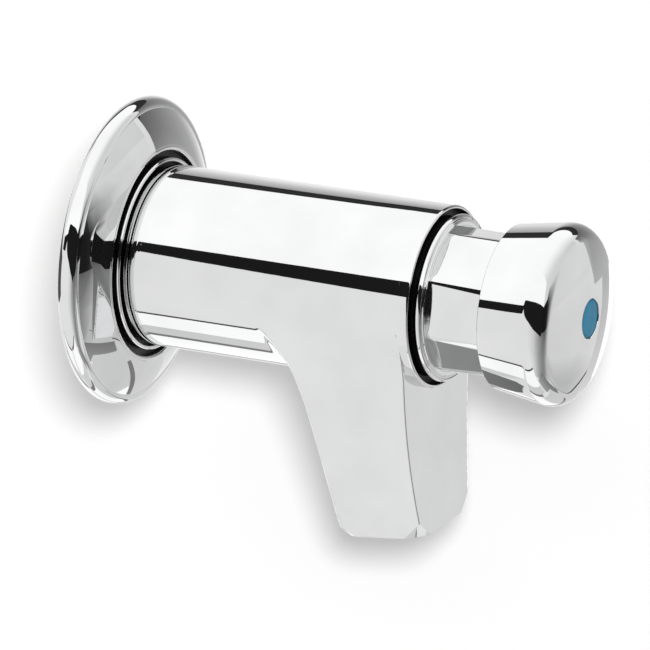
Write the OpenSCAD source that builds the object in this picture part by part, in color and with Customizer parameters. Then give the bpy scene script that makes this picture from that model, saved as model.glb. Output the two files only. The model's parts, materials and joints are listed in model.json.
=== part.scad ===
// Wall-mounted push timed tap: a short chromed barrel with a cast downward spout,
// a mushroom push button on a polished neck, and a round flange on the wall.
// Millimetres. Z is up, the wall is the plane y = 0 and the tap stands out along -Y.
// The origin is on the wall plane, on the axis of the inlet.
// Sub-parts are drawn along their own axis, with u the distance out from the wall.

/* [Wall flange] */
// Radius of the flange on the wall
flange_r = 35; // [34.5:0.1:36]
// Radius of the rounded rim's section
rim_r = 2.45; // [2.3:0.05:2.6]
// Distance of the inner lip's crest from the wall
flange_lip_u = 9.34; // [9.2:0.02:9.6]

/* [Body] */
// Radius of the barrel
body_r = 20.5; // [20.4:0.1:21.5]
// Distance of the barrel's front lip from the wall
body_front = 80.2; // [80.2:0.1:80.8]
// Rounding of the barrel's front edge
body_edge = 0.5; // [0.3:0.05:0.5]

/* [Spout] */
// Half width of the spout where it leaves the barrel
spout_hw = 17.6; // [16.5:0.1:18]
// Forward sweep of the spout's front face, in mm per square mm of drop
front_curve = 0.0017; // [0:0.0001:0.002]
// Lean of the spout's back face, in mm per mm of drop
back_lean = 0.2034; // [0.18:0.0002:0.23]
// Height of the outlet's centre below the axis
outlet_drop = 54.5; // [53:0.5:57]
// Tilt of the outlet, in degrees
outlet_tilt = 7; // [4:0.5:9]

/* [Push button] */
// Distance of the button's front from the wall
button_front = 115.4; // [115.2:0.1:116.2]
// Largest radius of the button
button_r = 20.4; // [20:0.1:21.5]
// Radius of the skirt at its rear edge
skirt_r = 18.6; // [18.2:0.1:19]
// Radius of the blue indicator
dot_r = 4.4; // [3.9:0.1:4.8]

/* [Inlet] */
// Radius over the inlet thread (G1/2)
thread_r = 10.48; // [10.4:0.01:10.48]
// Length of the threaded tail behind the wall plane
tail_l = 9.5; // [8:0.5:30]

/* [Return spring] */
// Radius of the spring wire
wire_r = 0.8; // [0.6:0.05:1]
// Number of turns
spring_turns = 8; // [6:1:9]

/* [Hidden] */
$fn = 96;
chrome = [0.84, 0.85, 0.87];
brass = [0.78, 0.62, 0.33];
steel = [0.66, 0.67, 0.69];
rubber = [0.06, 0.06, 0.065];
pom = [0.93, 0.92, 0.89];
black_pom = [0.12, 0.12, 0.13];
fibre = [0.45, 0.20, 0.16];
blue = [0.10, 0.42, 0.58];

body_rear = 8.6;
neck_r = 16.35;
spring_a = 73.5;
spring_b = 107.9;
outlet_u = 70;

function arc(cx, cy, r, a0, a1, n) =
    [for (i = [0:n]) let (a = a0 + (a1 - a0) * i / n) [cx + r * cos(a), cy + r * sin(a)]];

// Points on the arc from p to q that turns left by the given angle on its way.
function swell(p, q, turn, n) = let (ch = norm(q - p), r = ch / (2 * sin(turn / 2)), d = (q - p) / ch,
    c = (p + q) / 2 + [-d[1], d[0]] * r * cos(turn / 2), a0 = atan2(p[1] - c[1], p[0] - c[0]))
    [for (i = [1:n]) c + r * [cos(a0 + turn * i / n), sin(a0 + turn * i / n)]];

// Puts a shape drawn along +Z (z = distance from the wall, y = up) onto the tap's axis.
module on_axis() { rotate([90, 0, 0]) children(); }
// A ring: outer radius, inner radius, from u0 to u1.
module ring(ro, ri, u0, u1) {
    translate([0, 0, u0]) difference() {
        cylinder(r = ro, h = u1 - u0);
        translate([0, 0, -1]) cylinder(r = ri, h = u1 - u0 + 2);
    }
}
module rod(r, u0, u1) { translate([0, 0, u0]) cylinder(r = r, h = u1 - u0); }
module torus(rc, rs, u) { translate([0, 0, u]) rotate_extrude() translate([rc, 0]) circle(r = rs, $fn = 32); }
// Frame of the outlet: +Z points out of the spout, the origin is in the outlet plane.
module at_outlet() {
    on_axis() translate([0, -outlet_drop, outlet_u]) rotate([90 - outlet_tilt, 0, 0]) children();
}

// ---------- wall side ----------

// Bell-shaped flange with a rounded rim, a swelling face and a rolled inner lip.
lip_c = 24;
rim_c = flange_r - rim_r;
rim_u = rim_r + 0.55;
module wall_flange() color(chrome) on_axis() rotate_extrude($fn = 128) polygon(concat(
    [[flange_r - 3.95, 1.9], [flange_r - 3.95, 0], [flange_r - 3.1, 0]],
    arc(rim_c, rim_u, rim_r, -84, 90, 16),
    swell([rim_c, rim_u + rim_r], [lip_c + 0.75, flange_lip_u - 0.18], 15, 8),
    arc(lip_c, flange_lip_u - 0.72, 0.72, 58, 180, 8),
    [[lip_c - 0.72, flange_lip_u - 2.24], [lip_c + 0.4, flange_lip_u - 2.24], [lip_c + 0.6, flange_lip_u - 1.49],
     [lip_c + 2.4, flange_lip_u - 2.04], [lip_c + 4.2, flange_lip_u - 2.94], [flange_r - 5.8, flange_lip_u - 3.94],
     [flange_r - 5.6, 4], [flange_r - 5.6, 1.9]]));

// Flat sealing ring in the groove behind the rim.
module flange_gasket() color(rubber) on_axis() ring(flange_r - 4, flange_r - 5.55, 0, 1.9);

// Chromed ring behind the barrel that centres the flange, with a round bead in the gap.
module centring_ring() color(chrome) on_axis() rotate_extrude() polygon(concat(
    [[13.6, 7], [lip_c - 0.8, 7], [lip_c - 0.8, 8], [21.75, 8]],
    arc(21.3, body_rear + 0.85, 0.5, -25, 205, 10),
    [[20.8, body_rear], [13.6, body_rear]]));

// Hexagonal double nipple: the rear thread goes into the wall fitting, the front one into the body.
module inlet_nipple() color(brass) on_axis() difference() {
    union() {
        translate([0, 0, -tail_l]) cylinder(r1 = thread_r - 1, r2 = thread_r, h = 1);
        rod(thread_r, 1 - tail_l, 0.4);
        rod(9.2, 0.3, body_rear);
        translate([0, 0, 1.2]) cylinder(r = 24 / 2 / cos(30), h = 5.8, $fn = 6);
        rod(thread_r, body_rear, 19.5);
        translate([0, 0, 19.5]) cylinder(r1 = thread_r, r2 = thread_r - 1, h = 1);
    }
    rod(6.9, -tail_l - 1, 22);
}
module inlet_washer() color(fibre) on_axis() ring(13.4, thread_r + 0.07, 7, body_rear);

// Thimble strainer clamped between the nipple and the body.
module inlet_filter() color(steel) on_axis() difference() {
    union() {
        ring(10.4, 5.9, 20.5, 21.5);
        ring(6.5, 5.9, 9, 21);
        rod(6.5, 9, 9.6);
    }
    for (k = [0:3]) for (i = [0:3])
        translate([0, 0, 11.2 + 2.5 * k]) rotate([90, 0, 45 * i + 22.5 * (k % 2)])
            cylinder(r = 0.8, h = 20, center = true, $fn = 24);
    for (i = [0:5]) rotate([0, 0, 60 * i]) translate([3.4, 0, 8]) cylinder(r = 0.8, h = 3, $fn = 24);
}

// ---------- body ----------

// Outline of the spout at a drop s below the axis: the sides leave the barrel tangentially
// at s1 and have drawn in to the spout's width at s2.
s1 = 5.5;
s2 = 17;
x1 = sqrt(body_r * body_r - s1 * s1);
x2 = spout_hw - 0.00194 * s2 * s2;
function blend_w(t) = (2 * pow(t, 3) - 3 * t * t + 1) * x1 - (pow(t, 3) - 2 * t * t + t) * (s2 - s1) * s1 / x1
    + (3 * t * t - 2 * pow(t, 3)) * x2 - (pow(t, 3) - t * t) * (s2 - s1) * 2 * 0.00194 * s2;
function half_w(s) = s < s1 ? sqrt(body_r * body_r - s * s) - 0.2 * (s1 - s)
    : s < s2 ? blend_w((s - s1) / (s2 - s1)) : spout_hw - 0.00194 * s * s;
function front_u(s) = 78.05 + front_curve * pow(max(s - 15, 0), 2);
function back_u(s) = 48.68 + back_lean * s - 22.7 * exp(-max(s, 4) / 7.2);
function corner(x, u, r, a0, a1, n, s) =
    [for (i = [0:n]) let (a = a0 + (a1 - a0) * i / n) [x + r * cos(a), -s, u + r * sin(a)]];
function outline(s) = let (w = half_w(s), f = front_u(s), b = back_u(s), rf = 0.5, rb = 1.2)
    concat(corner(w - rf, f - rf, rf, 0, 90, 3, s), corner(rf - w, f - rf, rf, 90, 180, 3, s),
           corner(rb - w, b + rb, rb, 180, 270, 6, s), corner(w - rb, b + rb, rb, 270, 360, 6, s));
drops = concat([4.5], [for (i = [0:6]) 6.2 + 1.8 * i], [for (i = [0:9]) 18.6 + 4.6 * i]);
n_out = len(outline(10));
module spout_blank() polyhedron(
    points = [for (s = drops) each outline(s)],
    faces = concat(
        [[for (i = [0:n_out - 1]) i]],
        [for (k = [0:len(drops) - 2]) for (i = [0:n_out - 1]) let (a = k * n_out + i, b = k * n_out + (i + 1) % n_out)
            each [[a, a + n_out, b + n_out], [a, b + n_out, b]]],
        [[for (i = [n_out - 1:-1:0]) (len(drops) - 1) * n_out + i]]));

// Barrel and spout, cast in one piece and bored from the front.
module valve_body() color(chrome) difference() {
    union() {
        on_axis() rotate_extrude($fn = 128) polygon(concat(
            [[0, body_rear], [body_r - 3.5, body_rear], [body_r - 3, body_rear + 0.5]],
            arc(body_r - 1.3, body_rear + 1.9, 1, -78, 0, 6),
            [[body_r - 0.14, body_rear + 3], [body_r - 0.04, body_rear + 3.9], [body_r, body_rear + 4.5]],
            arc(body_r - body_edge, body_front - body_edge, body_edge, 0, 90, 4),
            arc(body_r - 0.55, body_front - 0.2, 0.2, 90, 180, 3),
            [[body_r - 0.75, body_front - 2], [0, body_front - 2]]));
        difference() {
            on_axis() spout_blank();
            at_outlet() translate([-40, -40, 0]) cube([80, 80, 40]);
            // the turned chamfer round the outlet
            at_outlet() translate([0, 0, -14]) difference() {
                cylinder(r = 60, h = 16);
                translate([0, 0, -1]) cylinder(r1 = 13.3 + 0.83 * 15, r2 = 13.3 - 0.83 * 2, h = 17);
            }
        }
    }
    on_axis() {
        rod(thread_r + 0.05, body_rear - 1, 21.5);
        rod(9.2, 20, 39);
        rod(15, 38, 71);
        rod(18, 70, body_front + 1);
        // sloping waterway from the cartridge chamber down to the outlet
        translate([0, -12, 59.5]) rotate([90 - 15.6, 0, 0]) cylinder(r = 5, h = 36);
    }
    at_outlet() translate([0, 0, -9]) cylinder(r = 9.3, h = 12);
}

// ---------- cartridge ----------

module valve_seat() color(brass) on_axis() {
    difference() {
        union() { rod(10.45, 38, 42); rod(6.6, 37.6, 38.5); }
        rod(5.5, 37, 43);
    }
}
module cartridge_barrel() color(pom) on_axis() difference() {
    union() {
        rod(14.95, 38, 41.6);
        rod(13.2, 41, 67);
        rod(14.95, 66, 70);
    }
    rod(10.5, 37, 42);
    rod(9.6, 41, 71);
    ring(16, 13.3, 38.9, 40.6);
    ring(16, 13.3, 67.15, 68.85);
    for (i = [0:7]) rotate([0, 0, 45 * i + 22.5]) translate([0, 0, 44.6]) rotate([90, 0, 0]) cylinder(r = 1.9, h = 20, $fn = 32);
}
module barrel_o_rings() color(rubber) on_axis() { torus(14.15, 0.82, 39.75); torus(14.15, 0.82, 68); }

// Gland that closes the timing chamber and guides the stem.
module gland_bush() color(brass) on_axis() difference() {
    union() { rod(9.5, 65.6, 70.5); rod(17.9, 70, 73.5); rod(6, 73, 77); }
    rod(3.05, 65, 78);
    ring(4.9, 1, 67.2, 69.2);
    ring(4.6, 1, 75, 76.4);
}
module stem_o_ring() color(rubber) on_axis() torus(3.97, 0.9, 68.2);
module stem_wiper() color(rubber) on_axis() ring(4.55, 3.06, 75.05, 76.35);

// Polished neck on which the button slides, with eight flats in front of the collar.
module guide_sleeve() color(chrome) on_axis() difference() {
    union() {
        rod(17.9, spring_a, 76);
        rod(neck_r, 75, 82.87);
        intersection() {
            union() {
                rod(neck_r, 82, 98.2);
                translate([0, 0, 98.2]) cylinder(r1 = neck_r, r2 = neck_r - 0.4, h = 0.4);
            }
            translate([0, 0, 82]) rotate([0, 0, 13.5]) cylinder(r = 15.35 / cos(22.5), h = 20, $fn = 8);
        }
    }
    rod(14.4, 73, 100);
}
// Ring nut that clamps the neck and the cartridge into the body: one broad bead and two fine ones.
nut_f = body_front - 80.2;
module retaining_collar() color(chrome) on_axis() rotate_extrude($fn = 128) polygon(concat(
    [[neck_r + 0.05, 76], [17.95, 76], [17.95, 80.5 + nut_f]],
    arc(18, 81.75 + nut_f, 0.8, -68, 78, 12),
    [[17.97, 82.4 + nut_f]],
    arc(17.72, 82.42 + nut_f, 0.18, 20, 140, 5),
    arc(17.36, 82.62 + nut_f, 0.18, 20, 120, 5),
    [[17.2, 82.85 + nut_f], [neck_r + 0.05, 82.85 + nut_f]]));

// ---------- plunger (all of this moves with the button) ----------

module stem() color(steel) on_axis() difference() {
    union() {
        rod(3, 30.9, 112);
        translate([0, 0, 30.4]) cylinder(r1 = 2.5, r2 = 3, h = 0.5);
        rod(4.2, 37.5, 39);
        rod(4.2, 55, 56.5);
        rod(4.4, 102.5, 104);
    }
    ring(5, 2.4, 64, 65);
    rod(2, 102.8, 113);
}
module valve_disc() color(rubber) on_axis() ring(7.4, 3.05, 34.9, 37.5);
module disc_holder() color(brass) on_axis() { difference() { rod(7.95, 33.4, 36.2); rod(7.45, 34.9, 37); rod(3.05, 33, 36); } }
module disc_nut() color(brass) on_axis() difference() {
    translate([0, 0, 30.9]) cylinder(r = 4.6, h = 2.5, $fn = 6);
    rod(3.05, 30, 34);
}
module piston() color(black_pom) on_axis() difference() {
    rod(9.52, 56.5, 64);
    ring(12, 7, 59.2, 62.2);
    rod(3.05, 56, 65);
    // calibrated bleed groove
    translate([9.2, -0.3, 56]) cube([1, 0.6, 9]);
}
// Lip seal, its open side towards the timing chamber.
module piston_lip_seal() color(rubber) on_axis() rotate_extrude() polygon(
    [[7.05, 59.25], [9.3, 59.25], [9.56, 61.6], [9.3, 62.15], [8.9, 62.15], [8.5, 60.4], [7.9, 60.4], [7.6, 62.15], [7.05, 62.15]]);
module piston_clip() color(steel) on_axis() difference() {
    ring(4.8, 2.45, 64, 65);
    translate([-1, -6, 63]) cube([2, 6, 3]);
}
// Shell of the button: flared skirt, rounded shoulder and a shallow dome.
sh_r = 4.8;
sh_slope = (button_r - skirt_r) / 11.4;
sh_a = atan(sh_slope);
sh_cx = button_r - sh_r * cos(sh_a);
sh_cu = button_front - 7.8 + sh_r * sin(sh_a);
dome_a = 2 * atan((button_front - sh_cu - sh_r) / sh_cx);
dome_r = sh_cx / sin(dome_a) + sh_r;
skirt_u = button_front - 19.3;
module push_button() color(chrome) on_axis() difference() {
    rotate_extrude($fn = 128) polygon(concat(
        [[0, skirt_u], [skirt_r - 0.35, skirt_u], [skirt_r, skirt_u + 0.3]],
        arc(sh_cx, sh_cu, sh_r, -sh_a, 90 - dome_a, 12),
        [for (i = [1:12]) let (a = dome_a * (1 - i / 12)) [dome_r * sin(a), button_front - dome_r + dome_r * cos(a)]]));
    rod(17.4, 90, 110.4);
    translate([0, 0, 110.4]) cylinder(r1 = 17.4, r2 = 15, h = 1.6);
    rod(2.1, 111, 120);
    rod(dot_r + 0.05, 113.2, 120);
}
// Plastic liner that runs on the neck and takes the spring.
module button_insert() color(pom) on_axis() difference() {
    union() {
        rod(17.35, 97, 110.4);
        translate([0, 0, 110.4]) cylinder(r1 = 17.35, r2 = 14.95, h = 1.6);
    }
    difference() { rod(16.43, 96, 108); rod(6.6, 104, 109); }
    rod(3.05, 95, 113);
}
module button_screw() color(steel) on_axis() difference() {
    union() { rod(3.5, 113.2, 114.2); rod(1.95, 104.2, 113.3); }
    translate([0, 0, 113.5]) cylinder(r = 1.45, h = 2, $fn = 6);
}
// Blue cap that marks cold water and hides the screw.
module indicator_cap() color(blue) on_axis() {
    difference() {
        union() {
            rod(dot_r, 113.2, button_front - 0.5);
            translate([0, 0, button_front - 0.5]) cylinder(r1 = dot_r, r2 = dot_r - 0.35, h = 0.3);
        }
        rod(dot_r - 0.45, 113, button_front - 1.1);
    }
}

// Compression spring with its end turns lying flat.
function coil_z(t) = let (n = spring_turns, h = spring_b - spring_a - 2 * wire_r, e = 2 * wire_r * 1.02)
    t < 1 ? e * t : t > n - 1 ? h - e * (n - t) : e + (h - 2 * e) * (t - 1) / (n - 2);
coil_n = 28;
module return_spring() color(steel) on_axis() translate([0, 0, spring_a + wire_r]) let (m = coil_n * spring_turns, q = 10)
    polyhedron(
        points = [for (i = [0:m]) let (t = i / coil_n, a = 360 * t) for (k = [0:q - 1]) let (b = 360 * k / q)
            [(10 + wire_r * cos(b)) * cos(a), (10 + wire_r * cos(b)) * sin(a), coil_z(t) + wire_r * sin(b)]],
        faces = concat(
            [[for (k = [0:q - 1]) k]],
            [for (i = [0:m - 1]) for (k = [0:q - 1]) let (a = i * q + k, b = i * q + (k + 1) % q)
                each [[a, a + q, b + q], [a, b + q, b]]],
            [[for (k = [q - 1:-1:0]) m * q + k]]));

// ---------- outlet ----------

module aerator_housing() color(chrome) at_outlet() difference() {
    translate([0, 0, -8]) cylinder(r = 9.25, h = 7.4);
    translate([0, 0, -9]) cylinder(r = 7.7, h = 7.2);
    translate([0, 0, -3]) cylinder(r = 6.9, h = 4);
    for (i = [0:3]) rotate([0, 0, 90 * i + 45]) translate([6, -0.9, -1.4]) cube([2.4, 1.8, 2]);
}
module aerator_insert() color(pom) at_outlet() difference() {
    translate([0, 0, -7]) cylinder(r = 7.65, h = 5.2);
    for (i = [0:5]) rotate([0, 0, 60 * i]) translate([2.6, 0, -8]) cylinder(r = 0.8, h = 8, $fn = 24);
    for (i = [0:11]) rotate([0, 0, 30 * i + 15]) translate([5.2, 0, -8]) cylinder(r = 0.8, h = 8, $fn = 24);
    translate([0, 0, -8]) cylinder(r = 0.8, h = 8, $fn = 24);
}
module flow_regulator() color(black_pom) at_outlet() difference() {
    translate([0, 0, -8.4]) cylinder(r = 7.6, h = 1.4);
    for (i = [0:5]) rotate([0, 0, 60 * i + 30]) translate([4.6, 0, -9]) cylinder(r = 1.1, h = 3, $fn = 24);
}
module aerator_seal() color(rubber) at_outlet() difference() {
    translate([0, 0, -9]) cylinder(r = 9.2, h = 1);
    translate([0, 0, -10]) cylinder(r = 7.7, h = 3);
}

wall_flange();
flange_gasket();
centring_ring();
inlet_nipple();
inlet_washer();
inlet_filter();
valve_body();
valve_seat();
cartridge_barrel();
barrel_o_rings();
gland_bush();
stem_o_ring();
stem_wiper();
guide_sleeve();
retaining_collar();
stem();
valve_disc();
disc_holder();
disc_nut();
piston();
piston_lip_seal();
piston_clip();
push_button();
button_insert();
button_screw();
indicator_cap();
return_spring();
aerator_housing();
aerator_insert();
flow_regulator();
aerator_seal();
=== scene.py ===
import bpy
import json
import math
import numpy as np
from mathutils import Matrix, Vector


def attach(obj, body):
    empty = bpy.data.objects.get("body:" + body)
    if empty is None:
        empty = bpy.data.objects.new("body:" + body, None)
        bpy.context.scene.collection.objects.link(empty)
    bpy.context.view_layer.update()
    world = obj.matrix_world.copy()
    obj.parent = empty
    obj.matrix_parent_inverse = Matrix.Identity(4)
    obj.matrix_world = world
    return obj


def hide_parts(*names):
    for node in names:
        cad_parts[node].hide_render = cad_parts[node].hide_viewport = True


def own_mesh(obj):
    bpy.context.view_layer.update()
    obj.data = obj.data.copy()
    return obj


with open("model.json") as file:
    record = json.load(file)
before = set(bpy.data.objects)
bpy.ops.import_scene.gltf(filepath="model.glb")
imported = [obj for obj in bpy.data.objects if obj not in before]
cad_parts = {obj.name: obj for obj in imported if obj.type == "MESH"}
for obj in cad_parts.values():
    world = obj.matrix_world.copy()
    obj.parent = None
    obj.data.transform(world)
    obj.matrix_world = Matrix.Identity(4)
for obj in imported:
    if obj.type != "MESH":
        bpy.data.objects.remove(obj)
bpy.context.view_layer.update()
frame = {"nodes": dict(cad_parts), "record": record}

# Lengths below are in millimetres: R = radius from the tap's axis, u = distance out from the wall
# (y = -u), z = height over the axis. They become metres when a mesh is made.
MM = 0.001
nodes = frame["nodes"]
scene = bpy.context.scene


# ------------------------------------------------------------------ mesh helpers

def make_mesh(name, verts, faces, normals=None):
    """verts in mm as (x, u, z); faces as a list of index tuples; normals per loop as (x, u, z).
    Faces are turned to agree with their normals."""
    v = np.asarray(verts, float)
    co = np.stack([v[:, 0], -v[:, 1], v[:, 2]], -1) * MM
    n = np.asarray(normals, float)
    n = np.stack([n[:, 0], -n[:, 1], n[:, 2]], -1)
    n /= np.maximum(np.linalg.norm(n, axis=1), 1e-12)[:, None]
    out_f, out_n, at = [], [], 0
    for f in faces:
        m = len(f)
        a, b, c, d = co[f[0]], co[f[1]], co[f[2]], co[f[-1]]
        g = np.cross(c - a, d - b) if m == 4 else np.cross(b - a, c - a)
        ln = n[at:at + m]
        if g @ ln.sum(0) < 0:
            out_f.append([int(i) for i in f[::-1]])
            out_n.append(ln[::-1])
        else:
            out_f.append([int(i) for i in f])
            out_n.append(ln)
        at += m
    me = bpy.data.meshes.new(name)
    me.from_pydata(co.tolist(), [], out_f)
    me.polygons.foreach_set("use_smooth", np.ones(len(me.polygons), bool))
    me.update()
    me.normals_split_custom_set(np.concatenate(out_n).tolist())
    ob = bpy.data.objects.new(name, me)
    scene.collection.objects.link(ob)
    return ob


def arc(cx, cu, r, a0, a1, n=24):
    return [(cx + r * math.cos(math.radians(a0 + (a1 - a0) * i / n)),
             cu + r * math.sin(math.radians(a0 + (a1 - a0) * i / n))) for i in range(n + 1)]


def spline(points, n=12):
    """Smooth run through the given points (centripetal Catmull-Rom)."""
    p = [np.array(q, float) for q in points]
    p = [2 * p[0] - p[1]] + p + [2 * p[-1] - p[-2]]
    out = []
    for i in range(1, len(p) - 2):
        t = [0.0]
        for a, b in ((p[i - 1], p[i]), (p[i], p[i + 1]), (p[i + 1], p[i + 2])):
            t.append(t[-1] + max(np.linalg.norm(b - a), 1e-9) ** 0.5)
        for k in range(n + (1 if i == len(p) - 3 else 0)):
            s = t[1] + (t[2] - t[1]) * k / n
            a1 = (t[1] - s) / (t[1] - t[0]) * p[i - 1] + (s - t[0]) / (t[1] - t[0]) * p[i]
            a2 = (t[2] - s) / (t[2] - t[1]) * p[i] + (s - t[1]) / (t[2] - t[1]) * p[i + 1]
            a3 = (t[3] - s) / (t[3] - t[2]) * p[i + 1] + (s - t[2]) / (t[3] - t[2]) * p[i + 2]
            b1 = (t[2] - s) / (t[2] - t[0]) * a1 + (s - t[0]) / (t[2] - t[0]) * a2
            b2 = (t[3] - s) / (t[3] - t[1]) * a2 + (s - t[1]) / (t[3] - t[1]) * a3
            out.append(tuple((t[2] - s) / (t[2] - t[1]) * b1 + (s - t[1]) / (t[2] - t[1]) * b2))
    return out


def lathe_data(runs, n=256):
    """A turned solid. runs are smooth runs of (R, u) points round the closed section, each one
    starting where the one before it ended; a run's ends are creases."""
    ring = []
    for r in runs:
        ring += r[:-1]
    poly = np.array(ring, float)
    area = 0.5 * np.sum(poly[:, 0] * np.roll(poly[:, 1], -1) - np.roll(poly[:, 0], -1) * poly[:, 1])
    if area < 0:
        runs = [r[::-1] for r in runs[::-1]]
    verts, faces, normals = [], [], []
    phi = np.arange(n) * 2 * math.pi / n
    c, s = np.cos(phi), np.sin(phi)
    index = {}

    def row(pt):
        key = (round(pt[0], 6), round(pt[1], 6))
        if key not in index:
            if pt[0] < 1e-6:
                index[key] = [len(verts)] * n
                verts.append((0.0, pt[1], 0.0))
            else:
                index[key] = list(range(len(verts), len(verts) + n))
                verts.extend(zip(pt[0] * c, [pt[1]] * n, pt[0] * s))
        return index[key]

    for r in runs:
        q = np.array(r, float)
        seg = np.diff(q, axis=0)
        ln = np.linalg.norm(seg, axis=1)
        keep = np.r_[True, ln > 1e-7]
        q = q[keep]
        seg = np.diff(q, axis=0)
        ln = np.linalg.norm(seg, axis=1)[:, None]
        d = seg / ln
        tan = np.empty_like(q)
        if len(q) > 2:
            # parabola through three neighbours: exact for evenly spaced arcs
            w0, w1 = ln[1:], ln[:-1]
            tan[1:-1] = (d[:-1] * w0 + d[1:] * w1) / (w0 + w1)
            tan[0] = 2 * d[0] - tan[1]
            tan[-1] = 2 * d[-1] - tan[-2]
        else:
            tan[:] = d[0]
        tan /= np.linalg.norm(tan, axis=1)[:, None]
        nr = np.stack([tan[:, 1], -tan[:, 0]], -1)
        for i in range(len(q) - 1):
            if max(q[i][0], q[i + 1][0]) < 1e-6:
                continue
            a, b = row(tuple(q[i])), row(tuple(q[i + 1]))
            for k in range(n):
                k2 = (k + 1) % n
                corners = [(a[k], nr[i], k), (b[k], nr[i + 1], k), (b[k2], nr[i + 1], k2), (a[k2], nr[i], k2)]
                if a[0] == a[1]:
                    corners.pop()
                elif b[0] == b[1]:
                    corners.pop(2)
                corners = corners[::-1]
                faces.append([x[0] for x in corners])
                normals += [(x[1][0] * c[x[2]], x[1][1], x[1][0] * s[x[2]]) for x in corners]
    return verts, faces, normals


def lathe(name, runs, n=256):
    return make_mesh(name, *lathe_data(runs, n))


def join_data(*parts):
    v, f, nn = [], [], []
    for pv, pf, pn in parts:
        o = len(v)
        v += list(pv)
        f += [[i + o for i in q] for q in pf]
        nn += list(pn)
    return v, f, nn


# ------------------------------------------------------------------ dual contouring of an implicit solid

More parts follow.
